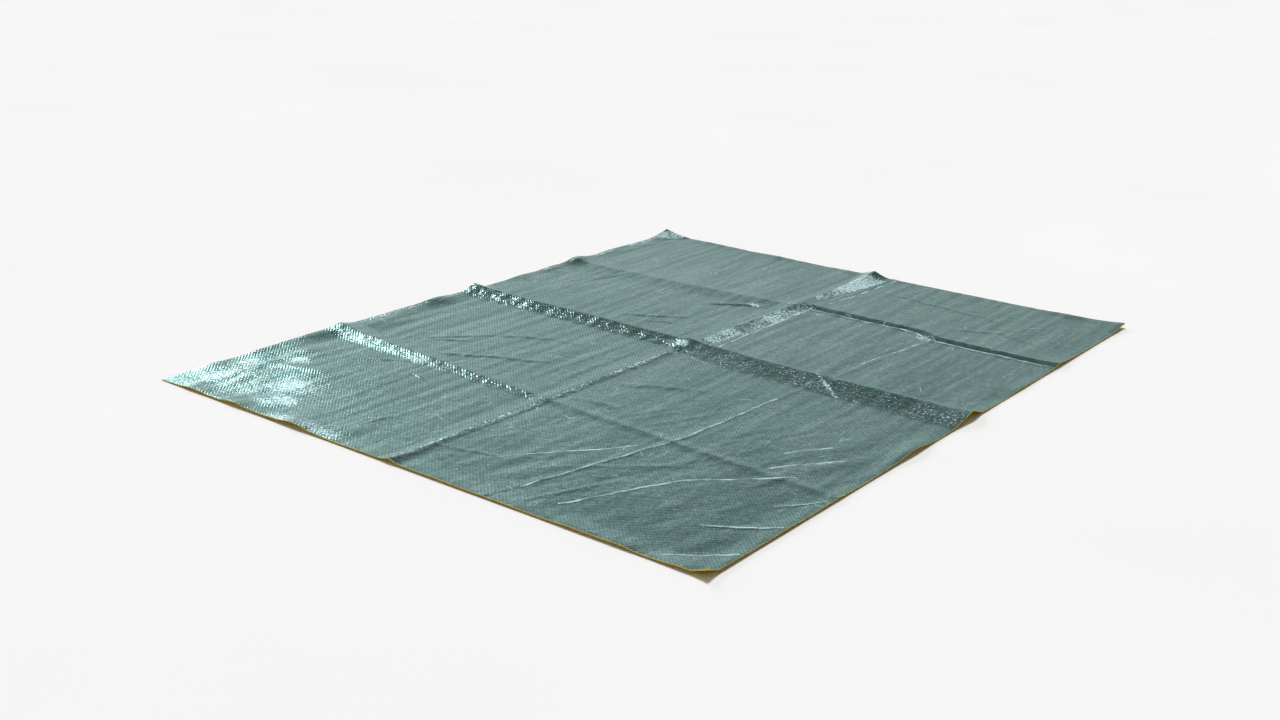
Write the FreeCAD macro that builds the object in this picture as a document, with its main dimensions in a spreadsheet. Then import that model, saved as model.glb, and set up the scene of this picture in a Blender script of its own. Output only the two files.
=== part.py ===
import FreeCAD, Part
import math
import os

import Sketcher
from FreeCAD import Vector

# A wide, thin sleeping pad cut from one sheet: a soft foam core with a thin foil facing bonded on top.
# It packs by folding across its length, so it is four flat panels joined by three creases, which stand
# up as low ridges when the pad lies open. X runs along the length, Y across it, Z up. The origin is
# under the pad's centre, on the ground. Sizes are in millimetres.

DIMENSIONS = {
    "pad_length": 2000.0,
    "pad_width": 1600.0,
    "foam_thickness": 2.0,
    "facing_thickness": 0.2,
    "crease_1_place": 495.0,
    "crease_2_place": 1050.0,
    "crease_3_place": 1545.0,
    "crease_1_span": 50.0,
    "crease_2_span": 80.0,
    "crease_3_span": 50.0,
    "crease_1_rise": 6.0,
    "crease_2_rise": 15.2,
    "crease_3_rise": 5.0,
    "panel_gap": 0.3,
}

# Each panel runs between two edges, given as a place along the length. A crease's own strip moves with
# one of the two panels beside it, and the other panel stops a small gap short of it.
PANELS = {
    "panel_1": ("0", "sheet.crease_1_place - sheet.crease_1_span / 2"),
    "panel_2": (
        "sheet.crease_1_place + sheet.crease_1_span / 2 + sheet.panel_gap",
        "sheet.crease_2_place - sheet.crease_2_span / 2 - sheet.panel_gap",
    ),
    "panel_3": (
        "sheet.crease_2_place + sheet.crease_2_span / 2",
        "sheet.crease_3_place - sheet.crease_3_span / 2 - sheet.panel_gap",
    ),
    "panel_4": ("sheet.crease_3_place + sheet.crease_3_span / 2", "sheet.pad_length"),
}
CREASES = ("crease_1", "crease_2", "crease_3")

# The two layers, each from its lower to its upper height above the pad's underside.
LAYERS = {
    "foam": ("0", "sheet.foam_thickness"),
    "facing": ("sheet.foam_thickness", "sheet.foam_thickness + sheet.facing_thickness"),
}

doc = FreeCAD.newDocument("sleeping_pad")


def make_sheet():
    cells = doc.addObject("Spreadsheet::Sheet", "sheet")
    for number, (alias, value) in enumerate(DIMENSIONS.items(), start=1):
        cells.set(f"A{number}", alias)
        cells.set(f"B{number}", str(value))
        cells.setAlias(f"B{number}", alias)
    doc.recompute()
    return cells


sheet = make_sheet()


def value_of(expression):
    """What an expression comes to now, for a sketch's first, unsolved shape."""
    return float(sheet.evalExpression(expression.replace("sheet.", "")))


def new_body(node):
    body = doc.addObject("PartDesign::Body", node)
    body.Label = node
    return body


def new_sketch(body, plane):
    """A sketch on one of the body's own origin planes."""
    sketch = body.newObject("Sketcher::SketchObject", f"{body.Name}_outline")
    origin_plane = next(f for f in body.Origin.OriginFeatures if f.Role == plane)
    sketch.AttachmentSupport = [(origin_plane, "")]
    sketch.MapMode = "FlatFace"
    return sketch


def bind_size(sketch, name, expression, kind, *where):
    """A named size in a sketch that follows the spreadsheet."""
    number = sketch.addConstraint(Sketcher.Constraint(kind, *where, value_of(expression)))
    sketch.renameConstraint(number, name)
    sketch.setExpression(f"Constraints.{name}", expression)


def pad_sketch(body, sketch, length, symmetric=False):
    pad = body.newObject("PartDesign::Pad", f"{body.Name}_pad")
    pad.Profile = sketch
    pad.setExpression("Length", length)
    if symmetric:
        pad.SideType = "Symmetric"
    return body


def place_body(body, along, height="0"):
    """Moves a body to a place along the length, counted from the pad's near end, and to a height."""
    body.Placement = FreeCAD.Placement(Vector(value_of(along), 0, value_of(height)), FreeCAD.Rotation())
    body.setExpression("Placement.Base.x", f"{along} - sheet.pad_length / 2")
    body.setExpression("Placement.Base.z", height)


def flat_layer(node, start, end, bottom, top):
    """One layer of a flat panel: a rectangle as wide as the pad, padded to the layer's thickness."""
    body = new_body(node)
    sketch = new_sketch(body, "XY_Plane")
    length = value_of(f"{end} - ({start})")
    half_width = value_of("sheet.pad_width / 2")
    corners = [
        Vector(0, -half_width, 0),
        Vector(length, -half_width, 0),
        Vector(length, half_width, 0),
        Vector(0, half_width, 0),
    ]
    for number, corner in enumerate(corners):
        sketch.addGeometry(Part.LineSegment(corner, corners[(number + 1) % 4]), False)
    for number in range(4):
        sketch.addConstraint(Sketcher.Constraint("Coincident", number, 2, (number + 1) % 4, 1))
    for side in (0, 2):
        sketch.addConstraint(Sketcher.Constraint("Horizontal", side))
    sketch.addConstraint(Sketcher.Constraint("Vertical", 1))
    sketch.addConstraint(Sketcher.Constraint("Symmetric", 0, 1, 3, 1, -1))
    sketch.addConstraint(Sketcher.Constraint("PointOnObject", 0, 1, -2))
    bind_size(sketch, "panel_length", f"{end} - ({start})", "DistanceX", 0, 1, 0, 2)
    bind_size(sketch, "panel_width", "sheet.pad_width", "DistanceY", 1, 1, 1, 2)
    pad_sketch(body, sketch, f"{top} - ({bottom})")
    place_body(body, start, bottom)
    return body


def arched_layer(node, crease, bottom, top):
    """One layer of a crease's strip: a low ridge of three tangent arcs, a crown between two feet.

    The underside's crown and feet have one radius, which its span and rise fix. Every other arc in the
    strip shares their centres, so that each layer keeps its thickness over the ridge."""
    body = new_body(node)
    sketch = new_sketch(body, "XZ_Plane")
    span, rise = f"sheet.{crease}_span", f"sheet.{crease}_rise"
    radius = f"({span} * {span} / (16 * {rise}) + {rise} / 4)"
    foot_x, arc_radius = value_of(f"{span} / 2"), value_of(radius)
    crown_centre = Vector(0, value_of(rise) - arc_radius, 0)
    turn = math.asin(foot_x / 2 / arc_radius)
    down, up, out = -math.pi / 2, math.pi / 2, Vector(0, 0, 1)

    for offset in (value_of(bottom), value_of(top)):
        foot = arc_radius - offset
        left = Part.Circle(Vector(-foot_x, arc_radius, 0), out, foot)
        crown = Part.Circle(crown_centre, out, arc_radius + offset)
        right = Part.Circle(Vector(foot_x, arc_radius, 0), out, foot)
        sketch.addGeometry(Part.ArcOfCircle(left, down, down + turn), False)
        sketch.addGeometry(Part.ArcOfCircle(crown, up - turn, up + turn), False)
        sketch.addGeometry(Part.ArcOfCircle(right, down - turn, down), False)
    under_left, under_crown, under_right, over_left, over_crown, over_right = range(6)
    left_end = sketch.addGeometry(
        Part.LineSegment(Vector(-foot_x, value_of(bottom), 0), Vector(-foot_x, value_of(top), 0)), False
    )
    right_end = sketch.addGeometry(
        Part.LineSegment(Vector(foot_x, value_of(bottom), 0), Vector(foot_x, value_of(top), 0)), False
    )

    for left, crown, right in (
        (under_left, under_crown, under_right),
        (over_left, over_crown, over_right),
    ):
        sketch.addConstraint(Sketcher.Constraint("Tangent", left, 2, crown, 2))
        sketch.addConstraint(Sketcher.Constraint("Tangent", crown, 1, right, 1))
    for under, over in ((under_left, over_left), (under_crown, over_crown), (under_right, over_right)):
        sketch.addConstraint(Sketcher.Constraint("Coincident", under, 3, over, 3))
    sketch.addConstraint(Sketcher.Constraint("Symmetric", under_left, 3, under_right, 3, -2))
    sketch.addConstraint(Sketcher.Constraint("PointOnObject", under_crown, 3, -2))
    for end, under, over, point in (
        (left_end, under_left, over_left, 1),
        (right_end, under_right, over_right, 2),
    ):
        sketch.addConstraint(Sketcher.Constraint("Coincident", end, 1, under, point))
        sketch.addConstraint(Sketcher.Constraint("Coincident", end, 2, over, point))
        sketch.addConstraint(Sketcher.Constraint("Vertical", end))
        sketch.addConstraint(Sketcher.Constraint("PointOnObject", under, 3, end))
    bind_size(sketch, "foot_place", f"{span} / 2", "DistanceX", -1, 1, under_right, 3)
    bind_size(sketch, "foot_centre", radius, "DistanceY", -1, 1, under_right, 3)
    bind_size(sketch, "crown_drop", f"{radius} - {rise}", "DistanceY", under_crown, 3, -1, 1)
    bind_size(sketch, "under_radius", f"{radius} - ({bottom})", "Radius", under_right)
    bind_size(sketch, "over_radius", f"{radius} - ({top})", "Radius", over_right)
    pad_sketch(body, sketch, "sheet.pad_width", symmetric=True)
    place_body(body, f"sheet.{crease}_place")
    return body


def check(objects):
    """Stops unless every object was made and every sub-part is one closed solid."""
    for item in doc.Objects:
        if "Invalid" in item.State or "Error" in item.State:
            raise RuntimeError(f"{item.Name} failed: {item.State}")
    for body in objects:
        if body.Shape.isNull() or not body.Shape.isValid() or len(body.Shape.Solids) != 1:
            raise RuntimeError(f"{body.Label} is not one valid solid")


sub_parts = []
for layer, (bottom, top) in LAYERS.items():
    for panel, (start, end) in PANELS.items():
        sub_parts.append(flat_layer(f"{panel}_{layer}", start, end, bottom, top))
    for crease in CREASES:
        sub_parts.append(arched_layer(f"{crease}_{layer}", crease, bottom, top))

doc.recompute()
check(sub_parts)

os.makedirs("parts", exist_ok=True)
for body in sub_parts:
    body.Shape.exportStep(f"parts/{body.Label}.step")
    bounds = body.Shape.BoundBox
    print(
        f"{body.Label}: x {bounds.XMin:.1f} to {bounds.XMax:.1f}, z {bounds.ZMin:.2f} to "
        f"{bounds.ZMax:.2f}, {body.Shape.Volume / 1000:.1f} cm3"
    )
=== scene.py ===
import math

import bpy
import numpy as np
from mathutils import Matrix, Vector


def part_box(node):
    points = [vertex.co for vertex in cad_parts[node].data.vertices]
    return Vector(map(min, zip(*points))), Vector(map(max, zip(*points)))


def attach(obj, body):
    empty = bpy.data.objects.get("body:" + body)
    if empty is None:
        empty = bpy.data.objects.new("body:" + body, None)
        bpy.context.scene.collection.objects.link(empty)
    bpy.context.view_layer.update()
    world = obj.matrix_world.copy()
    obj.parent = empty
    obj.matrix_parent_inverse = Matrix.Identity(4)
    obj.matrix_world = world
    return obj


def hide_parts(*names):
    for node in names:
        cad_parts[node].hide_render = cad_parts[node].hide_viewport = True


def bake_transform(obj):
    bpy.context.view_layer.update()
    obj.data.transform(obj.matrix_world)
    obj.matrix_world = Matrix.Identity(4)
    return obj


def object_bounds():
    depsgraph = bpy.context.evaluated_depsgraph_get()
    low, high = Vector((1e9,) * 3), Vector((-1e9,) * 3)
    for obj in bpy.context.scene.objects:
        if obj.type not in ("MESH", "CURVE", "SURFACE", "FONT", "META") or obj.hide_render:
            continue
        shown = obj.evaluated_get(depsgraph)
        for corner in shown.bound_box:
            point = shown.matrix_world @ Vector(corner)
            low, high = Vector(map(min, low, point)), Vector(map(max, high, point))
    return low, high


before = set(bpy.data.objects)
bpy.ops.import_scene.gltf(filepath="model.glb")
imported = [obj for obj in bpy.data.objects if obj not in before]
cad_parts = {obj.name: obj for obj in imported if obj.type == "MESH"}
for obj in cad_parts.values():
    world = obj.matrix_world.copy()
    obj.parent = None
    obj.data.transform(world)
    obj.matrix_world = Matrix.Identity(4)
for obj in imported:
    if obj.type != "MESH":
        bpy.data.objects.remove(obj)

# A wide, thin foam sleeping pad with a foil facing, unfolded on a pale floor. The pad is one sheet whose
# shape is worked out as a height over the floor: creases from folding, ripples along its length, small
# wrinkles, and edges and corners that lift. It is cut into pieces where the frame's folds are: the panels
# ride on their bodies, and the strips between them are pieces of their own.

cad_low, cad_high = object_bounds()

# The pad's pieces from its near end to its far one: flat panels, with the crease strips between them.
CREASES = ("crease_1", "crease_2", "crease_3")
PIECES = ("panel_1", "crease_1", "panel_2", "crease_2", "panel_3", "crease_3", "panel_4")
NEAR_END, FAR_END = cad_low.x, cad_high.x
LENGTH = cad_high.x - cad_low.x
WIDTH = cad_high.y - cad_low.y
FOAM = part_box("panel_1_foam")[1].z
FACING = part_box("panel_1_facing")[1].z - FOAM
MM = 0.001

# The pad's length and width in millimetres, and how high its underside may rise.
LONG, WIDE = LENGTH / MM, WIDTH / MM
TALLEST = 25.0

# How far apart the surface's grid lines are: along a panel, along a crease strip, and across the pad.
PANEL_STEP = 5 * MM
CREASE_STEP = 2.5 * MM
WIDTH_STEP = 5 * MM

# The woven emboss is a little coarser than the real one, so that it shows in a render.
EMBOSS_PITCH = 7 * MM

# The camera of the photograph, worked out from where the pad's four corners lie in it. Directions are
# compass degrees from +X towards +Y.
CAMERA_PLACE = (-2.878, -2.093, 1.166)
CAMERA_DIRECTION, CAMERA_DOWN, CAMERA_ROLL = 37.69, 18.50, 1.24
CAMERA_LENS = 40.7

# How far the floor reaches from its middle, so far that its edge lies on the horizon in every view.
FLOOR_REACH = 300 * LENGTH


# ---------------------------------------------------------------- noise and small shapes, all in numpy


def random_grid(seed, size=64):
    """Random values from -1 to 1, the same for the same seed."""
    return np.random.RandomState(seed).uniform(-1, 1, (size, size))


def grid_corners(x, y, cell_x, cell_y, seed):
    """The four random values round each point, and how far the point is from the first of them."""
    grid = random_grid(seed)
    size = len(grid)
    i, j = np.floor(x / cell_x).astype(int), np.floor(y / cell_y).astype(int)
    part_x, part_y = x / cell_x - i, y / cell_y - j
    values = [grid[(i + a) % size, (j + b) % size] for a in (0, 1) for b in (0, 1)]
    return values, part_x, part_y


def soft_noise(x, y, cell_x, cell_y, seed):
    """Smooth noise from -1 to 1."""
    (v00, v01, v10, v11), part_x, part_y = grid_corners(x, y, cell_x, cell_y, seed)
    ease_x, ease_y = (p * p * (3 - 2 * p) for p in (part_x, part_y))
    near = v00 + (v01 - v00) * ease_y
    far = v10 + (v11 - v10) * ease_y
    return near + (far - near) * ease_x


def facets(x, y, cell_x, cell_y, seed):
    """Noise from -1 to 1 made of flat triangles with sharp edges between them, like crumpled foil."""
    warp_x = x + 0.45 * cell_x * soft_noise(x, y, 1.3 * cell_x, 1.3 * cell_y, seed + 1)
    warp_y = y + 0.45 * cell_y * soft_noise(x, y, 1.3 * cell_x, 1.3 * cell_y, seed + 2)
    (v00, v01, v10, v11), part_x, part_y = grid_corners(warp_x, warp_y, cell_x, cell_y, seed)
    lower = v00 + (v10 - v00) * part_x + (v01 - v00) * part_y
    upper = v11 + (v01 - v11) * (1 - part_x) + (v10 - v11) * (1 - part_y)
    return np.where(part_x + part_y < 1, lower, upper)


def bell(distance, reach):
    """1 at no distance, falling smoothly to almost 0 at twice the reach."""
    return np.exp(-((distance / reach) ** 2))


def between(value, low, high, soft):
    """1 between low and high, 0 outside, with soft ends."""
    rise = np.clip((value - low) / soft + 0.5, 0, 1)
    fall = np.clip((high - value) / soft + 0.5, 0, 1)
    return (rise * rise * (3 - 2 * rise)) * (fall * fall * (3 - 2 * fall))


def along_line(value, *points):
    """A value read from a few (place, value) points joined by straight lines."""
    places, values = zip(*points)
    return np.interp(value, places, values)


def segment(x, y, start, end):
    """Distance of each point from a straight piece of line, and how far along it the nearest point lies."""
    (x0, y0), (x1, y1) = start, end
    dx, dy = x1 - x0, y1 - y0
    share = np.clip(((x - x0) * dx + (y - y0) * dy) / (dx * dx + dy * dy), 0, 1)
    side = np.sign((x - x0) * dy - (y - y0) * dx)
    return side * np.hypot(x - x0 - share * dx, y - y0 - share * dy), share


def fold(distance, low_reach, high_reach, roundness=3.0):
    """A fold's cross section, 1 at its crest: straight-sided, with a rounded crest and soft feet."""
    eased = np.sqrt(distance**2 + roundness**2) - roundness
    reach = np.where(distance < 0, low_reach, high_reach)
    return np.clip(1 - eased / reach, 0, 1) ** 1.35


# ---------------------------------------------------------------- the pad's surface
# v runs from 0 at the near end to 1 at the far end, and u from 0 at the +Y side to 1 at the -Y side.
# x and y are millimetres from that first corner, and every height below is in millimetres.


def pad_places(x, y):
    """Places in the frame as millimetres from the pad's first corner and as shares v and u of its size."""
    from_near, from_side = (x - NEAR_END) / MM, (cad_high.y - y) / MM
    v, u = (x - NEAR_END) / LENGTH, (cad_high.y - y) / WIDTH
    return from_near, from_side, v, u


def middle_line(v):
    """Where the lengthwise middle crease shows its band of crumpling and painted highlight."""
    return along_line(v, (0, 0.494), (0.5, 0.495), (0.78, 0.513), (1, 0.506))


def first_line(u):
    """Where the near cross fold shows its band of crumpling and painted highlight."""
    return along_line(u, (0, 0.272), (0.25, 0.260), (1, 0.224))


def undulation(x, y):
    """The slight unevenness of a sheet on a floor."""
    return 0.7 + 0.7 * soft_noise(x, y, 310, 240, 11) + 0.25 * soft_noise(x, y, 120, 95, 12)


def ripples(x, y, u, v):
    """Low waves that run the whole length, closer together on the -Y half, and slanting waves in the front
    quarter, where the pad has been handled most."""
    drift = 16 * soft_noise(x, y, 520, 260, 21) + 5 * soft_noise(x, y, 170, 90, 22)
    pitch = np.where(u < 0.5, 47.0, 38.0)
    front = between(v, -0.2, 0.42, 0.2) * between(u, 0.52, 1.2, 0.12)
    depth = 0.32 * (0.65 + 0.5 * soft_noise(x, y, 260, 110, 23)) * np.where(u < 0.5, 1.0, 0.6)
    fine = 0.22 * soft_noise(x, y, 170, 21, 24) + 0.08 * soft_noise(x, y, 80, 11, 25)
    along, across = 0.91 * x + 0.42 * y, 0.91 * y - 0.42 * x
    slanting = 0.6 * soft_noise(along, across, 190, 40, 26) + 0.22 * soft_noise(along, across, 120, 15, 27)
    straight = depth * (1 + np.cos(2 * math.pi * (y + drift) / pitch)) + fine
    return straight * (1 - 0.85 * front) + (0.6 + slanting) * front


def crease_one(x, y, u):
    """The near cross fold: a ridge at the +Y side that fades to a faint line by the middle."""
    crest = LONG * along_line(u, (0, 0.276), (0.25, 0.264), (0.5, 0.250), (1, 0.226))
    height = along_line(u, (0, 9.0), (0.12, 7.0), (0.25, 5.5), (0.45, 3.6), (0.52, 1.6), (1, 1.5))
    low = along_line(u, (0, 56), (0.25, 44), (0.45, 32), (0.55, 26), (1, 26))
    shape = fold(x - crest, low, 0.9 * low)
    rough = between(u, -0.1, 0.5, 0.1) * bell(x - crest + 14, 24)
    return height * shape + 0.8 * rough * facets(x, y, 12, 17, 31)


def crease_two(x, y, u):
    """The middle cross fold: the tallest ridge, crumpled where it climbs from the near end."""
    crest = LONG * along_line(u, (0, 0.532), (0.5, 0.531), (0.62, 0.524), (1, 0.523))
    height = along_line(u, (0, 16), (0.1, 13), (0.44, 11.5), (0.5, 14), (0.7, 13), (0.95, 14), (1, 17))
    low = along_line(u, (0, 58), (0.45, 62), (0.6, 88), (1, 92))
    d = x - crest
    shape = fold(d, low, 40, roundness=along_line(u, (0, 3), (0.93, 3), (1, 16)))
    slope = np.clip(-d / low, 0, 1)
    on_slope = np.sin(math.pi * slope)
    first_half = between(u, -0.1, 0.5, 0.06)
    scallops = 0.8 * np.abs(np.sin(math.pi * (y + 10 * soft_noise(x, y, 60, 60, 41)) / 52))
    crumple = 1.2 * facets(x, y, 16, 22, 42) + 0.7 * facets(x, y, 9, 12, 43)
    smooth_half = 0.7 * facets(x, y, 17, 30, 44)
    return height * shape + on_slope * np.where(u < 0.5, 1, 0.55) * (
        first_half * (scallops + crumple - 0.6) + (1 - first_half) * smooth_half
    )


def crease_three(x, y, u):
    """The far cross fold: a soft ridge on the +Y half, and a step up behind a sharp trough on the other."""
    ridge_line = LONG * along_line(u, (0, 0.757), (0.25, 0.762), (0.5, 0.772))
    ridge = 4.6 * fold(x - ridge_line, 78, 60) * between(u, -0.2, 0.49, 0.05)
    trough_line = LONG * along_line(u, (0.5, 0.778), (0.75, 0.776), (0.79, 0.760), (1, 0.758))
    d = x - trough_line
    step = 5.6 * np.clip(d / 24, 0, 1) ** 0.8 * np.exp(-np.clip(d - 24, 0, None) / 75)
    lip = 1.2 * np.clip(1 + d / 16, 0, 1) * (d < 0)
    return ridge + (step + lip) * between(u, 0.51, 1.2, 0.03)


def lengthwise_creases(x, y, u, v):
    """The folds that run the pad's length: a low middle ridge that widens and lifts towards the far end,
    and a fine sharp line to its -Y side."""
    middle = WIDE * along_line(v, (0, 0.493), (0.17, 0.486), (0.5, 0.487), (0.78, 0.503), (1, 0.505))
    height = along_line(
        v, (0, 6), (0.06, 3), (0.25, 2.4), (0.5, 3.2), (0.6, 4.2), (0.78, 6), (0.92, 6.5), (1, 15)
    )
    reach = along_line(v, (0, 26), (0.5, 22), (0.58, 40), (0.78, 42), (0.85, 34), (1, 46))
    d = y - middle
    ridge = height * fold(d, reach, reach)
    crumple = 1.5 * facets(x, y, 15, 13, 51) * bell(d - 8, 34) * between(v, 0.55, 0.79, 0.05)
    fine = WIDE * along_line(v, (0, 0.66), (0.1, 0.69), (0.26, 0.733), (0.43, 0.742), (0.75, 0.78))
    sharp = 0.9 * fold(y - fine, 13, 13, roundness=1.0) * between(v, -0.1, 0.78, 0.1)
    second = WIDE * along_line(v, (0.55, 0.50), (0.77, 0.526), (1, 0.553))
    echo = 1.1 * fold(y - second, 20, 12, roundness=1.5) * between(v, 0.6, 1.2, 0.1)
    quarter = 0.6 * fold(y - 0.30 * WIDE, 14, 14, roundness=1.0) * between(v, 0.5, 0.78, 0.1)
    return ridge + crumple + sharp + echo + quarter


# Each wrinkle runs from one (v, u) place to another, with its height and half width in millimetres.
WRINKLES = (
    ((0.065, 0.491), (0.087, 0.588), 1.0, 9),
    ((0.012, 0.700), (0.120, 0.760), 1.0, 16),
    ((0.087, 0.915), (0.129, 0.995), 1.2, 10),
    ((0.168, 0.951), (0.207, 0.995), 1.0, 10),
    ((0.090, 0.650), (0.200, 0.800), 0.8, 20),
    ((0.818, 0.769), (0.853, 0.853), 1.4, 16),
    ((0.853, 0.853), (0.903, 0.814), 1.2, 12),
    ((0.903, 0.814), (0.927, 0.571), 1.2, 16),
    ((0.853, 0.853), (0.829, 0.942), 1.0, 14),
    ((0.920, 0.624), (0.998, 0.625), 1.2, 10),
    ((0.839, 0.619), (0.864, 0.597), 1.2, 9),
    ((0.316, 0.138), (0.387, 0.217), 1.7, 17),
    ((0.387, 0.217), (0.429, 0.306), 1.5, 17),
    ((0.429, 0.306), (0.432, 0.360), 1.1, 17),
    ((0.281, 0.191), (0.355, 0.376), 1.8, 19),
    ((0.327, 0.164), (0.348, 0.208), 1.5, 12),
    ((0.578, 0.297), (0.631, 0.398), 1.8, 15),
    ((0.578, 0.350), (0.599, 0.403), 1.3, 12),
    ((0.687, 0.116), (0.751, 0.138), 1.6, 11),
    ((0.700, 0.370), (0.745, 0.455), 2.6, 19),
    ((0.352, 0.526), (0.394, 0.641), 1.6, 26),
    ((0.283, 0.530), (0.281, 0.590), 1.6, 24),
    ((0.205, 0.290), (0.213, 0.260), 1.8, 10),
    ((0.060, 0.360), (0.095, 0.370), 1.6, 12),
    ((0.203, 0.138), (0.239, 0.208), 1.4, 12),
    ((0.120, 0.050), (0.150, 0.190), 1.5, 26),
    ((0.030, 0.100), (0.110, 0.060), 1.8, 30),
    ((0.480, 0.790), (0.530, 0.765), 1.5, 8),
    ((0.492, 0.752), (0.532, 0.735), 1.2, 7),
)


def wrinkles(x, y):
    """Short folds and dents, highest in their middle."""
    total = np.zeros_like(x)
    for (v0, u0), (v1, u1), height, reach in WRINKLES:
        start, end = (v0 * LONG, u0 * WIDE), (v1 * LONG, u1 * WIDE)
        bend = 4 * soft_noise(x, y, 70, 70, 61)
        d, share = segment(x + bend, y - bend, start, end)
        swell = 0.35 + 0.65 * np.sin(math.pi * np.clip(share, 0.02, 0.98))
        total += height * swell * fold(d, reach, 0.55 * reach, roundness=1.5)
    return total


# Soft mounds: (v, u) place, height, and reach along and across the pad, in millimetres.
MOUNDS = (
    (0.034, 0.195, 2.5, 38, 55),
    (0.032, 0.285, 3.0, 36, 60),
    (0.034, 0.365, 2.5, 34, 45),
    (0.135, 0.135, 2.5, 48, 80),
    (0.185, 0.055, 4.0, 60, 55),
    (0.330, 0.030, 5.0, 110, 40),
)


def mounds(x, y):
    """Low swells where the pad doesn't lie quite flat."""
    total = np.zeros_like(x)
    for v, u, height, reach_x, reach_y in MOUNDS:
        away = np.hypot((x - v * LONG) / reach_x, (y - u * WIDE) / reach_y)
        total += height * bell(away, 1)
    return total


def edge_noise(along, cell, seed):
    """Smooth noise from -1 to 1 that changes only along an edge."""
    return soft_noise(along, np.zeros_like(along), cell, 1, seed)


def edge_lift(x, y):
    """The cut edges curl up a little, more in some stretches than in others."""
    near = (
        3.0
        + 2.0 * edge_noise(y, 120, 71)
        + 6.0 * bell(y - 0.07 * WIDE, 50)
        + 6.0 * bell(y - 0.17 * WIDE, 45)
        + 6.5 * bell(y - 0.30 * WIDE, 45)
        + 3.5 * bell(y - 0.88 * WIDE, 45)
    )
    far = 1.8 + 1.6 * edge_noise(y, 90, 72)
    left = (
        3.0
        + 2.5 * edge_noise(x, 70, 73)
        + 7.0 * bell(x - 0.24 * LONG, 110)
        + 4.0 * bell(x - 0.45 * LONG, 60)
        + 6.0 * bell(x - 0.76 * LONG, 60)
    )
    right = 2.2 + 1.8 * edge_noise(x, 110, 74) + 8.0 * bell(x - 0.385 * LONG, 60)
    flat_corners = 1 - 0.85 * bell(np.hypot(x, y), 110) - 0.75 * bell(np.hypot(x, WIDE - y), 40)
    return flat_corners * (
        near * bell(x, 38)
        + far * bell(LONG - x, 30)
        + left * bell(y, 40)
        + right * bell(WIDE - y, 34)
    )


def corner_lift(x, y):
    """The corners: the front one bends up with its tip turned to show the foam, the back one curls up, and
    the right one lifts a little."""
    front = x + (WIDE - y)
    bent = 5.0 * np.clip(1 - front / 150, 0, 1) ** 1.2
    tip = 15.5 * np.clip(1 - front / 38, 0, 1) ** 1.25
    back = (LONG - x) + y
    curl = 15.0 * np.clip(1 - back / 105, 0, 1) ** 1.25
    right = 4.0 * bell(np.hypot(LONG - x, WIDE - y), 90)
    return bent + tip + curl + right


def surface(x, y):
    """Height of the pad's underside over the floor, in metres, at places in the frame."""
    from_near, from_side, v, u = pad_places(x, y)
    height = (
        undulation(from_near, from_side)
        + ripples(from_near, from_side, u, v)
        + crease_one(from_near, from_side, u)
        + crease_two(from_near, from_side, u)
        + crease_three(from_near, from_side, u)
        + lengthwise_creases(from_near, from_side, u, v)
        + wrinkles(from_near, from_side)
        + mounds(from_near, from_side)
        + edge_lift(from_near, from_side)
        + corner_lift(from_near, from_side)
    )
    return np.clip(height, 0, TALLEST) * MM


def crumple_and_highlight(x, y):
    """How crumpled the facing is, from 0 to 1: most along the folds and where it was handled. The material
    also paints highlights with it: paler, greyer foil where the folds, edges and back corner would catch the
    light.
    """
    from_near, from_side, v, u = pad_places(x, y)
    middle = middle_line(v)
    middle_band = 0.25 * between(v, 0.53, 0.79, 0.03) * bell(u - middle - 0.008, 0.018)
    near_middle = 0.70 * between(v, -0.1, 0.53, 0.05) * bell(u - middle, 0.006)
    first = first_line(u)
    first_band = 0.25 * between(u, 0.02, 0.24, 0.06) * bell(v - first + 0.010, 0.012)
    first_tail = 0.45 * between(u, 0.22, 0.5, 0.05) * bell(v - first + 0.004, 0.006)
    second_band = 0.42 * between(u, -0.1, 0.5, 0.05) * bell(v - 0.512, 0.013)
    second_half = 0.30 * between(u, 0.5, 1.1, 0.05) * bell(v - 0.505, 0.025)
    second_streak = 0.7 * bell(u - 0.765, 0.035) * bell(v - 0.508, 0.022)
    crossing = 1.2 * bell(u - 0.487, 0.014) * bell(v - 0.517, 0.012)
    near_side = 0.3 * bell(v - 0.055, 0.05) * bell(u - 0.07, 0.06)
    side_edge = 0.9 * bell(u - 0.006, 0.010) * between(v, 0.28, 0.98, 0.03)
    # The back corner's two bands lie by how many metres they are from the corner, along its two edges.
    from_corner = (1 - v) * LENGTH + u * WIDTH
    # The back corner's bands mostly paint a highlight: the pale arc where the curl would catch the light.
    back_corner = 1.3 * between(from_corner, 0.02, 0.10, 0.03)
    back_curl = 0.5 * bell(from_corner - 0.16, 0.07)
    bands = (
        middle_band, near_middle, first_band, first_tail, second_band, second_half, second_streak,
        crossing, near_side, back_corner, back_curl, side_edge,
    )
    patchy = 0.75 + 0.55 * soft_noise(from_near, from_side, 60, 45, 81)
    return np.clip(np.max(bands, axis=0) * patchy, 0, 1)


# Spots of painted highlight, where the facing's emboss is painted white as if it caught the light: (v, u)
# place, and reach along and across the pad as shares of its length and width.
GLINT_SPOTS = (
    (0.006, 0.055, 0.030, 0.016),
    (0.050, 0.046, 0.055, 0.022),
    (0.110, 0.034, 0.040, 0.018),
    (0.088, 0.174, 0.034, 0.050),
    (0.050, 0.205, 0.020, 0.040),
    (0.030, 0.195, 0.012, 0.030),
    (0.008, 0.262, 0.014, 0.036),
    (0.013, 0.340, 0.016, 0.056),
    (0.155, 0.085, 0.012, 0.034),
    (0.777, 0.497, 0.010, 0.016),
    (0.738, 0.445, 0.009, 0.020),
    (0.517, 0.487, 0.012, 0.013),
    (0.762, 0.765, 0.012, 0.022),
    (0.978, 0.016, 0.016, 0.016),
)


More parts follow.
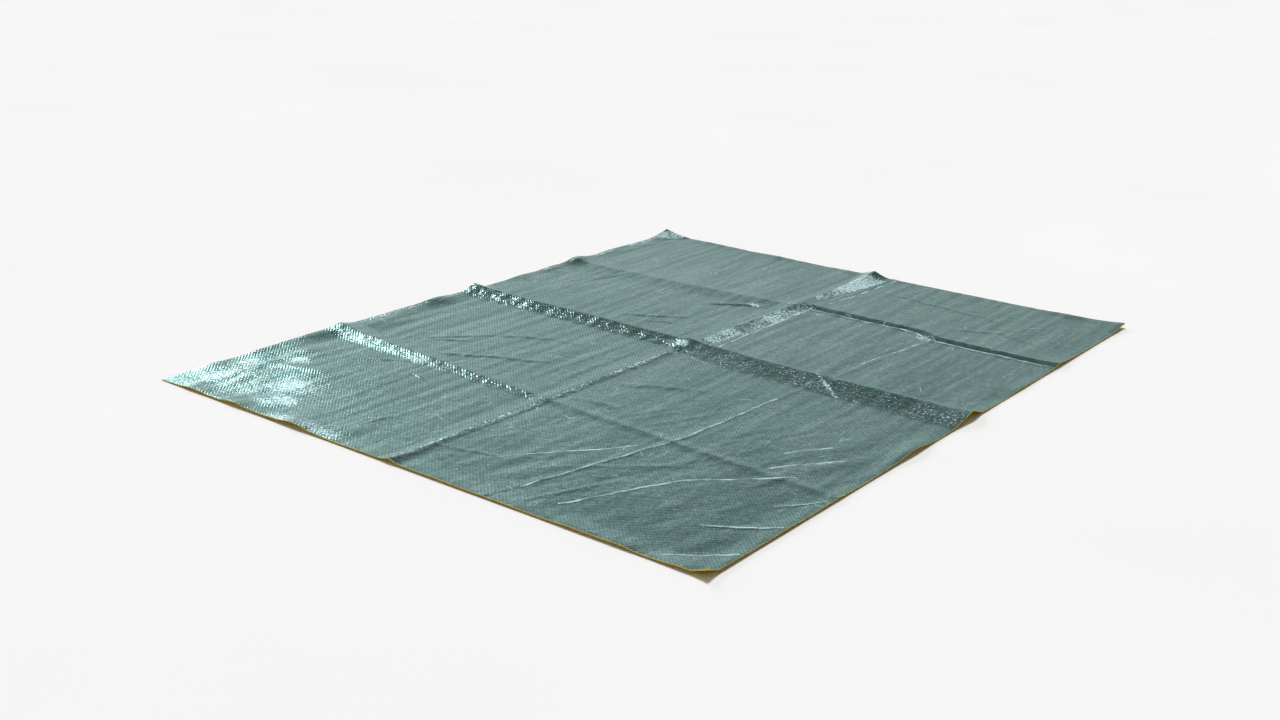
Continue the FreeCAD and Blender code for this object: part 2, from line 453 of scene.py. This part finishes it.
def painted_glint(x, y):
    """How much the facing's fine emboss is painted white as highlight, from 0 to 1: bands along the folds,
    and spots.
    """
    from_near, from_side, v, u = pad_places(x, y)
    middle = middle_line(v)
    widening = along_line(v, (0.80, 0.004), (1, 0.042))
    far_middle = between(v, 0.805, 0.985, 0.03) * between(u - middle, -0.010, widening, 0.012)
    third_middle = 0.75 * between(v, 0.55, 0.79, 0.03) * between(u - middle, -0.012, 0.028, 0.02)
    near_middle = 0.80 * between(v, -0.1, 0.50, 0.10) * bell(u - middle + 0.004, 0.004)
    first_fold = 0.75 * between(u, 0.0, 0.30, 0.06) * bell(v - first_line(u) + 0.010, 0.010)
    second_slope = 0.40 * between(v, 0.478, 0.522, 0.01) * between(u, 0.48, 1.2, 0.03)
    slope_streak = 0.9 * bell(u - 0.765 + 1.5 * (v - 0.508), 0.008) * between(v, 0.478, 0.524, 0.01)
    left_corner = 0.48 * bell(v - 0.05, 0.07) * bell(u - 0.09, 0.11)
    bands = [far_middle, third_middle, near_middle, first_fold, second_slope, slope_streak, left_corner]
    for spot_v, spot_u, reach_v, reach_u in GLINT_SPOTS:
        bands.append(bell(v - spot_v, reach_v) * bell(u - spot_u, reach_u))
    patchy = 0.85 + 0.35 * soft_noise(from_near, from_side, 45, 45, 82)
    return np.clip(np.max(bands, axis=0) * patchy, 0, 1)


# ---------------------------------------------------------------- meshes


def cut_places():
    """Where the pieces meet along X, from the frame's crease strips."""
    places = [NEAR_END]
    for crease in CREASES:
        low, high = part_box(f"{crease}_foam")
        places += [low.x, high.x]
    return places + [FAR_END]


def grid_lines():
    """The surface's lines along X and Y, and the first and last X line of each piece."""
    places = cut_places()
    lines, spans = [], []
    for number, (start, end) in enumerate(zip(places, places[1:])):
        step = CREASE_STEP if PIECES[number] in CREASES else PANEL_STEP
        count = max(2, round((end - start) / step))
        first = len(lines) - 1 if lines else 0
        new = np.linspace(start, end, count + 1)
        lines += list(new if not lines else new[1:])
        spans.append((first, len(lines) - 1))
    across = np.linspace(cad_low.y, cad_high.y, round(WIDTH / WIDTH_STEP) + 1)
    return np.array(lines), across, spans


def layer_mesh(name, x, y, lower, upper, normals):
    """A closed layer between two height grids over the same places, smooth on its two broad faces."""
    rows, columns = x.shape
    over = np.stack([x, y, upper], -1).reshape(-1, 3)
    under = np.stack([x, y, lower], -1).reshape(-1, 3)
    index = np.arange(rows * columns).reshape(rows, columns)
    beneath = index + rows * columns
    top = np.stack([index[:-1, :-1], index[1:, :-1], index[1:, 1:], index[:-1, 1:]], -1).reshape(-1, 4)
    bottom = top[:, ::-1] + rows * columns
    rims, rim_normals = [], []
    for line, sense, facing in (
        ((slice(None), 0), 1, (0, -1, 0)),
        ((slice(None), -1), -1, (0, 1, 0)),
        ((0, slice(None)), -1, (-1, 0, 0)),
        ((-1, slice(None)), 1, (1, 0, 0)),
    ):
        high, low = index[line], beneath[line]
        quads = np.stack([low[:-1], low[1:], high[1:], high[:-1]], -1)
        rims.append(quads[:, ::sense])
        rim_normals.append(np.tile(facing, (4 * len(quads), 1)))
    faces = np.concatenate([top, bottom, *rims])
    mesh = bpy.data.meshes.new(name)
    mesh.from_pydata(np.concatenate([over, under]).tolist(), [], faces.tolist())
    smooth = normals.reshape(-1, 3)
    corner_normals = np.concatenate(
        [smooth[top.ravel()], -smooth[(bottom - rows * columns).ravel()], *rim_normals]
    )
    mesh.shade_smooth()
    mesh.normals_split_custom_set(corner_normals.tolist())
    flat_place = np.concatenate([over, over]).astype(np.float32)
    mesh.attributes.new("rest_place", "FLOAT_VECTOR", "POINT").data.foreach_set("vector", flat_place.ravel())
    for label, amount in (("crumple_and_highlight", crumple_and_highlight), ("painted_glint", painted_glint)):
        values = amount(flat_place[:, 0], flat_place[:, 1]).astype(np.float32)
        mesh.attributes.new(label, "FLOAT", "POINT").data.foreach_set("value", values)
    made = bpy.data.objects.new(name, mesh)
    bpy.context.scene.collection.objects.link(made)
    return made


def surface_grid():
    """The whole pad's grid of places, with the underside's height and the surface's normal at each."""
    along, across, spans = grid_lines()
    x, y = np.meshgrid(along, across, indexing="ij")
    height = surface(x, y)
    slope_x, slope_y = np.gradient(height, along, across)
    normals = np.stack([-slope_x, -slope_y, np.ones_like(height)], -1)
    normals /= np.linalg.norm(normals, axis=-1, keepdims=True)
    return x, y, height, normals, spans


# ---------------------------------------------------------------- materials


class Nodes:
    """The node tree of a material or world, built a node at a time: an input is a number, a colour or
    another node's output."""

    def __init__(self, owner):
        self.owner = owner
        owner.use_nodes = True
        self.tree = owner.node_tree
        self.tree.nodes.clear()

    def add(self, kind, inputs=None, **settings):
        node = self.tree.nodes.new(kind)
        for key, value in settings.items():
            setattr(node, key, value)
        for key, value in (inputs or {}).items():
            if isinstance(value, bpy.types.NodeSocket):
                self.tree.links.new(value, node.inputs[key])
            else:
                node.inputs[key].default_value = value
        return node.outputs[0] if node.outputs else node

    def maths(self, operation, *values, clamp=False):
        inputs = dict(enumerate(values))
        return self.add("ShaderNodeMath", inputs, operation=operation, use_clamp=clamp)

    def vector(self, operation, *values):
        return self.add("ShaderNodeVectorMath", dict(enumerate(values)), operation=operation)

    def noise(self, place, scale, detail=2.0, roughness=0.5):
        inputs = {"Vector": place, "Scale": scale, "Detail": detail, "Roughness": roughness}
        return self.add("ShaderNodeTexNoise", inputs)

    def cells(self, place, scale, feature="F1"):
        return self.add("ShaderNodeTexVoronoi", {"Vector": place, "Scale": scale}, feature=feature)

    def remap(self, value, low, high, to_low=0.0, to_high=1.0, smooth=False):
        inputs = {"Value": value, 1: low, 2: high, 3: to_low, 4: to_high}
        kind = "SMOOTHSTEP" if smooth else "LINEAR"
        return self.add("ShaderNodeMapRange", inputs, interpolation_type=kind)

    def mix(self, share, first, second):
        """One colour turning into another. The mix node names its sockets alike, so they go by number."""
        node = self.tree.nodes.new("ShaderNodeMix")
        node.data_type = "RGBA"
        for key, value in ((0, share), (6, first), (7, second)):
            if isinstance(value, bpy.types.NodeSocket):
                self.tree.links.new(value, node.inputs[key])
            else:
                node.inputs[key].default_value = value
        return node.outputs[2]

    def scaled(self, place, scale):
        return self.vector("MULTIPLY", place, scale)

    def bump(self, height, distance, normal=None):
        inputs = {"Height": height, "Distance": distance, "Strength": 1.0}
        if normal is not None:
            inputs["Normal"] = normal
        return self.add("ShaderNodeBump", inputs)

    def finish(self, inputs):
        shader = self.add("ShaderNodeBsdfPrincipled", inputs)
        self.add("ShaderNodeOutputMaterial", {"Surface": shader})
        return self.owner


def attribute(nodes, name, output):
    """A value that each mesh stores at its points."""
    return nodes.add("ShaderNodeAttribute", attribute_name=name).node.outputs[output]


def weave(nodes, place, pitch):
    """The facing's fine emboss: two sets of raised threads that cross on the diagonal, a little uneven."""
    waver = nodes.scaled(nodes.noise(place, 30.0), (0.0016, 0.0016, 0.0))
    place = nodes.vector("ADD", place, waver)
    split = nodes.add("ShaderNodeSeparateXYZ", {0: place}).node
    x, y = split.outputs[0], split.outputs[1]
    waves = []
    for across in (nodes.maths("ADD", x, y), nodes.maths("SUBTRACT", x, y)):
        turns = nodes.maths("MULTIPLY", across, 2 * math.pi / pitch / math.sqrt(2))
        waves.append(nodes.maths("SINE", turns))
    return nodes.maths("MAXIMUM", *waves)


def pad_place(v, u):
    """A (v, u) place as a point in the frame."""
    return NEAR_END + v * LENGTH, cad_high.y - u * WIDTH, 0.0


# Sharp creases in the foil: each goes through a few (v, u) places.
SHARP_CREASES = (
    ((0.045, 0.676), (0.120, 0.697), (0.260, 0.733), (0.430, 0.742)),
    ((0.565, 0.747), (0.760, 0.781)),
    ((0.530, 0.534), (0.780, 0.532)),
    ((0.815, 0.544), (1.000, 0.557)),
    ((0.776, 0.530), (0.776, 0.745), (0.759, 0.775), (0.758, 0.985)),
    ((0.037, 0.747), (0.161, 0.818), (0.242, 0.924)),
    ((0.246, 0.880), (0.316, 0.942)),
    ((0.292, 0.867), (0.337, 0.906)),
    ((0.012, 0.928), (0.055, 0.995)),
    ((0.087, 0.915), (0.129, 0.995)),
    ((0.168, 0.951), (0.207, 0.995)),
    ((0.087, 0.588), (0.203, 0.703)),
)


def sharp_crease_lines(nodes, place):
    """How near each point is to the nearest sharp crease: 1 on it, 0 a few millimetres away."""
    ragged = nodes.vector("SUBTRACT", nodes.noise(place, 16.0, detail=3.0), (0.5, 0.5, 0.5))
    level = nodes.scaled(place, (1.0, 1.0, 0.0))
    wander = nodes.scaled(ragged, (0.016, 0.016, 0.0))
    place = nodes.vector("ADD", level, wander)
    nearest = None
    for crease in SHARP_CREASES:
        for start, end in zip(crease, crease[1:]):
            start, end = np.array(pad_place(*start)), np.array(pad_place(*end))
            along = end - start
            offset = nodes.vector("SUBTRACT", place, tuple(start))
            share = nodes.vector("DOT_PRODUCT", offset, tuple(along / (along @ along))).node.outputs["Value"]
            # Kept from 0 to 1, so that the nearest point is never past either end.
            share = nodes.maths("MULTIPLY", share, 1.0, clamp=True)
            onto = nodes.add("ShaderNodeVectorMath", {0: tuple(along), "Scale": share}, operation="SCALE")
            gap = nodes.vector("DISTANCE", offset, onto).node.outputs["Value"]
            nearest = gap if nearest is None else nodes.maths("MINIMUM", nearest, gap)
    return nodes.remap(nearest, 0.8 * MM, 4.6 * MM, 1.0, 0.0, smooth=True)


def painted_glint_grains(nodes, glint_amount, threads, fine):
    """Painted highlight: white grains in the emboss, few where the glint amount is low, and nearly everywhere
    where it is full.
    """
    lattice = nodes.maths("MULTIPLY", nodes.remap(threads, 0.0, 1.0, -0.06, 0.06), glint_amount)
    cover = nodes.maths("ADD", lattice, nodes.remap(glint_amount, 0.0, 1.0, -0.71, -0.36))
    return nodes.remap(nodes.maths("ADD", fine, cover), 0.0, 0.10, 0.0, 1.0)


def fine_scratches(nodes, place):
    """Thin curved lines, broken off where a noise is low."""
    turned = nodes.add(
        "ShaderNodeMapping",
        {"Vector": place, "Rotation": (0, 0, math.radians(25)), "Scale": (1.0, 3.2, 1.0)},
    )
    lines = nodes.remap(nodes.cells(turned, 8.0, feature="DISTANCE_TO_EDGE"), 0.004, 0.016, 1.0, 0.0)
    strength = nodes.remap(nodes.noise(place, 17.0), 0.57, 0.64, 0.0, 0.5)
    return nodes.maths("MULTIPLY", lines, strength)


def facing_material():
    """The foil: a grey-green metallised film with a fine woven emboss, streaked along the pad, with painted
    shade between the emboss threads, pale scratches, and painted highlights along creases, crumpled bands and
    glints."""
    nodes = Nodes(bpy.data.materials.new("foil_facing"))
    green, light_green = (0.265, 0.450, 0.420, 1), (0.330, 0.520, 0.495, 1)
    streak_green = (0.200, 0.350, 0.330, 1)
    tint, streak_tint = (0.75, 0.92, 0.91, 1), (0.57, 0.74, 0.73, 1)
    hollow_shade_green, painted_highlight_grey = (0.06, 0.13, 0.13, 1), (0.45, 0.55, 0.54, 1)
    scratch_and_highlight_white = (0.65, 0.92, 0.96, 1)

    place = attribute(nodes, "rest_place", "Vector")
    crumpling_and_highlight = attribute(nodes, "crumple_and_highlight", "Fac")
    glint_amount = attribute(nodes, "painted_glint", "Fac")
    blotches = nodes.noise(place, 5.0, detail=3.0)
    streaks = nodes.noise(nodes.scaled(place, (1.5, 22.0, 1.0)), 1.6, detail=4.0, roughness=0.6)
    grime = nodes.noise(place, 42.0, detail=4.0, roughness=0.65)
    grain = nodes.noise(place, 130.0, detail=2.0, roughness=0.6)
    fine = nodes.noise(place, 150.0, detail=3.0, roughness=0.65)
    threads = weave(nodes, place, EMBOSS_PITCH)

    # The sharp creases get a painted highlight, a pale line broken along its length, as well as a bump ridge.
    broken = nodes.remap(nodes.noise(place, 24.0, detail=2.0), 0.38, 0.62, 0.25, 1.0)
    creased = nodes.maths("MULTIPLY", sharp_crease_lines(nodes, place), broken)
    # Painted highlights: pale grains on the crumpled bands, where the folds would catch the light.
    painted_highlight_grains = nodes.maths("MULTIPLY", nodes.remap(crumpling_and_highlight, 0.35, 0.9), nodes.remap(grain, 0.38, 0.60))
    # Painted glints: small pale specks where the foil would sparkle in the light.
    glint_specks = nodes.remap(nodes.cells(place, 62.0), 0.05, 0.13, 1.0, 0.0)
    glint_specks = nodes.maths("MULTIPLY", glint_specks, nodes.remap(grain, 0.42, 0.60))
    pale = nodes.maths("MAXIMUM", creased, nodes.maths("MULTIPLY", painted_highlight_grains, 0.9))
    pale = nodes.maths("MAXIMUM", pale, fine_scratches(nodes, place))
    pale = nodes.maths("MAXIMUM", pale, painted_glint_grains(nodes, glint_amount, threads, fine))
    pale = nodes.maths("MAXIMUM", pale, nodes.maths("MULTIPLY", glint_specks, 0.8))

    streaked = nodes.remap(streaks, 0.38, 0.64)
    colour = nodes.mix(nodes.remap(blotches, 0.35, 0.65), green, light_green)
    colour = nodes.mix(streaked, colour, streak_green)
    # Painted shade: the foil is darker in the hollows between the emboss threads.
    shade_between_threads = nodes.remap(threads, -0.4, 0.8, 1.0, 0.45)
    hollow_shade = nodes.maths("MULTIPLY", shade_between_threads, nodes.remap(grain, 0.36, 0.62, 0.8, 0.0))
    colour = nodes.mix(hollow_shade, colour, hollow_shade_green)
    # Painted highlight: the crumpled bands turn a paler grey.
    colour = nodes.mix(nodes.maths("MULTIPLY", crumpling_and_highlight, 0.3), colour, painted_highlight_grey)
    # The pale colour: scratches, and painted highlights on creases, crumpled bands, glint grains and specks.
    colour = nodes.mix(pale, colour, scratch_and_highlight_white)

    rough = nodes.remap(grime, 0.3, 0.7, 0.15, 0.24)
    rough = nodes.maths("ADD", rough, nodes.maths("MULTIPLY", crumpling_and_highlight, 0.10))

    shaken = nodes.vector("ADD", place, nodes.scaled(nodes.noise(place, 40.0), (0.012, 0.012, 0.0)))
    crumple = nodes.maths("MULTIPLY", crumpling_and_highlight, nodes.cells(shaken, 85.0))
    rough_emboss = nodes.maths("MULTIPLY", fine, nodes.remap(glint_amount, 0.1, 0.7))
    normal = nodes.bump(nodes.noise(place, 26.0, detail=3.0, roughness=0.55), 1.2 * MM)
    normal = nodes.bump(crumple, 3.2 * MM, normal)
    normal = nodes.bump(grain, 0.12 * MM, normal)
    normal = nodes.bump(rough_emboss, 1.2 * MM, normal)
    normal = nodes.bump(creased, 1.1 * MM, normal)
    normal = nodes.bump(threads, 0.16 * MM, normal)
    return nodes.finish(
        {
            "Base Color": colour,
            "Metallic": nodes.remap(pale, 0.0, 1.0, 0.90, 0.20),
            "Roughness": rough,
            "Normal": normal,
            "Specular IOR Level": 0.5,
            "Specular Tint": nodes.mix(streaked, tint, streak_tint),
            "Coat Weight": 0.30,
            "Coat Roughness": 0.14,
        }
    )


def foam_material():
    """The core: matt yellow foam, with painted shade in the fine pits where its cells are cut open."""
    nodes = Nodes(bpy.data.materials.new("yellow_foam"))
    deep_yellow, light_yellow = (0.68, 0.47, 0.05, 1), (0.82, 0.61, 0.10, 1)
    pit_shade_brown = (0.50, 0.32, 0.02, 1)
    place = attribute(nodes, "rest_place", "Vector")
    shade = nodes.remap(nodes.noise(place, 14.0, detail=3.0), 0.3, 0.7)
    walls = nodes.remap(nodes.cells(place, 900.0), 0.0, 0.6)
    # Painted shade: the pits are darker brown in their hollow middles.
    pit_shade = nodes.maths("MULTIPLY", nodes.maths("SUBTRACT", 1.0, walls), 0.35)
    colour = nodes.mix(shade, deep_yellow, light_yellow)
    colour = nodes.mix(pit_shade, colour, pit_shade_brown)
    return nodes.finish(
        {
            "Base Color": colour,
            "Roughness": 0.78,
            "Normal": nodes.bump(walls, 0.2 * MM),
            "Subsurface Weight": 0.12,
            "Subsurface Radius": (0.004, 0.0025, 0.0006),
            "Specular IOR Level": 0.25,
        }
    )


def floor_material():
    """A plain matt floor of a pale grey that varies very little."""
    nodes = Nodes(bpy.data.materials.new("pale_floor"))
    place = nodes.add("ShaderNodeTexCoord").node.outputs["Object"]
    shade = nodes.remap(nodes.noise(place, 0.8, detail=3.0), 0.3, 0.7, 0.89, 0.91)
    colour = nodes.add("ShaderNodeCombineColor", {0: shade, 1: shade, 2: shade})
    return nodes.finish(
        {
            "Base Color": colour,
            "Roughness": 0.9,
            "Specular IOR Level": 0.0,
        }
    )


# ---------------------------------------------------------------- the pad's pieces


def make_pad():
    """Cuts the surface into its pieces, each a facing over a core of foam, and ties the panels to the frame:
    they ride on their bodies, while the strips between them stay as pieces of their own."""
    x, y, height, normals, spans = surface_grid()
    foil, foam = facing_material(), foam_material()

    for name, (first, last) in zip(PIECES, spans):
        span = slice(first, last + 1)
        place, floor_side, smooth = (x[span], y[span]), height[span], normals[span]
        joined = floor_side + FOAM
        facing = layer_mesh(f"facing_{name}", *place, joined, joined + FACING, smooth)
        facing.data.materials.append(foil)
        core = layer_mesh(f"foam_{name}", *place, floor_side, joined, smooth)
        core.data.materials.append(foam)

        for piece, node in ((facing, f"{name}_facing"), (core, f"{name}_foam")):
            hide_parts(node)
            if name not in CREASES:
                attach(piece, name)
            else:
                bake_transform(piece)


# ---------------------------------------------------------------- studio


def make_floor():
    """A plain floor just under the pad."""
    mesh = bpy.data.meshes.new("floor")
    signs = ((-1, -1), (1, -1), (1, 1), (-1, 1))
    corners = [(FLOOR_REACH * x, FLOOR_REACH * y, 0) for x, y in signs]
    mesh.from_pydata(corners, [], [(0, 1, 2, 3)])
    floor = bpy.data.objects.new("floor", mesh)
    floor.location.z = -0.3 * MM
    mesh.materials.append(floor_material())
    bpy.context.scene.collection.objects.link(floor)


def aim(direction_degrees, down_degrees, roll_degrees=0.0):
    """A rotation that looks along a compass direction, counted from +X towards +Y, and down."""
    turn = Matrix.Rotation(math.radians(direction_degrees - 90), 4, "Z")
    tilt = Matrix.Rotation(math.radians(90 - down_degrees), 4, "X")
    roll = Matrix.Rotation(math.radians(roll_degrees), 4, "Z")
    return turn @ tilt @ roll


def direction_vector(degrees):
    """A level unit vector along a compass direction, counted from +X towards +Y."""
    turn = math.radians(degrees)
    return Vector((math.cos(turn), math.sin(turn), 0))


def make_camera():
    """The photograph's view."""
    data = bpy.data.cameras.new("camera")
    data.lens = CAMERA_LENS
    data.clip_end = 2 * FLOOR_REACH
    camera = bpy.data.objects.new("camera", data)
    turned = aim(CAMERA_DIRECTION, CAMERA_DOWN, CAMERA_ROLL)
    camera.matrix_world = Matrix.Translation(CAMERA_PLACE) @ turned
    bpy.context.scene.collection.objects.link(camera)
    bpy.context.scene.camera = camera


def soft_sun(name, direction, height, spread, strength, mirrored=True):
    """A soft light from a compass direction and a height angle, the same over the whole floor. Reflections
    show it only if mirrored is set."""
    data = bpy.data.lights.new(name, "SUN")
    data.angle = math.radians(spread)
    data.energy = strength
    lamp = bpy.data.objects.new(name, data)
    lamp.matrix_world = aim(direction + 180, height)
    lamp.visible_glossy = mirrored
    bpy.context.scene.collection.objects.link(lamp)


# The world's grey at a few heights, from 0 at the horizon to 1 overhead. The flat foil reflects the low,
# bright part to the camera, and the steep creases the dark part.
WORLD_GREYS = (
    (0.00, 0.90),
    (0.04, 0.62),
    (0.22, 0.70),
    (0.30, 0.94),
    (0.43, 0.42),
    (0.56, 0.07),
    (0.80, 0.07),
    (0.97, 0.90),
)


def make_world():
    """A pale room, brighter on the left and darker on the camera's side and to the right."""
    world = bpy.data.worlds.new("studio")
    nodes = Nodes(world)
    toward = nodes.add("ShaderNodeTexCoord").node.outputs["Generated"]
    height = nodes.add("ShaderNodeSeparateXYZ", {0: toward}).node.outputs["Z"]
    ramp = nodes.tree.nodes.new("ShaderNodeValToRGB")
    nodes.tree.links.new(height, ramp.inputs[0])
    for number, (place, grey) in enumerate(WORLD_GREYS):
        stop = ramp.color_ramp.elements[number] if number < 2 else ramp.color_ramp.elements.new(place)
        stop.position = place
        stop.color = (grey, grey, grey, 1)
    leftwards = direction_vector(130)
    nearwards = -direction_vector(CAMERA_DIRECTION)
    left = nodes.vector("DOT_PRODUCT", toward, leftwards).node.outputs["Value"]
    near = nodes.vector("DOT_PRODUCT", toward, nearwards).node.outputs["Value"]
    near_dark = nodes.maths("MULTIPLY", nodes.remap(near, 0.1, 0.9), nodes.remap(height, 0.0, 0.05))
    to_left = nodes.remap(left, -0.5, 0.5, 0.62, 1.36)
    strength = nodes.maths("SUBTRACT", to_left, nodes.maths("MULTIPLY", near_dark, 0.9))
    sky = nodes.add("ShaderNodeBackground", {"Color": ramp.outputs[0], "Strength": strength})
    nodes.add("ShaderNodeOutputWorld", {"Surface": sky})
    bpy.context.scene.world = world


def make_studio():
    """The floor, the camera and everything that lights them."""
    make_floor()
    make_world()
    make_camera()
    soft_sun("back_left_light", direction=63, height=26, spread=12, strength=0.55)
    soft_sun("high_light", direction=45, height=65, spread=12, strength=2.2, mirrored=False)
    bpy.context.scene.view_settings.view_transform = "Standard"


make_studio()
make_pad()
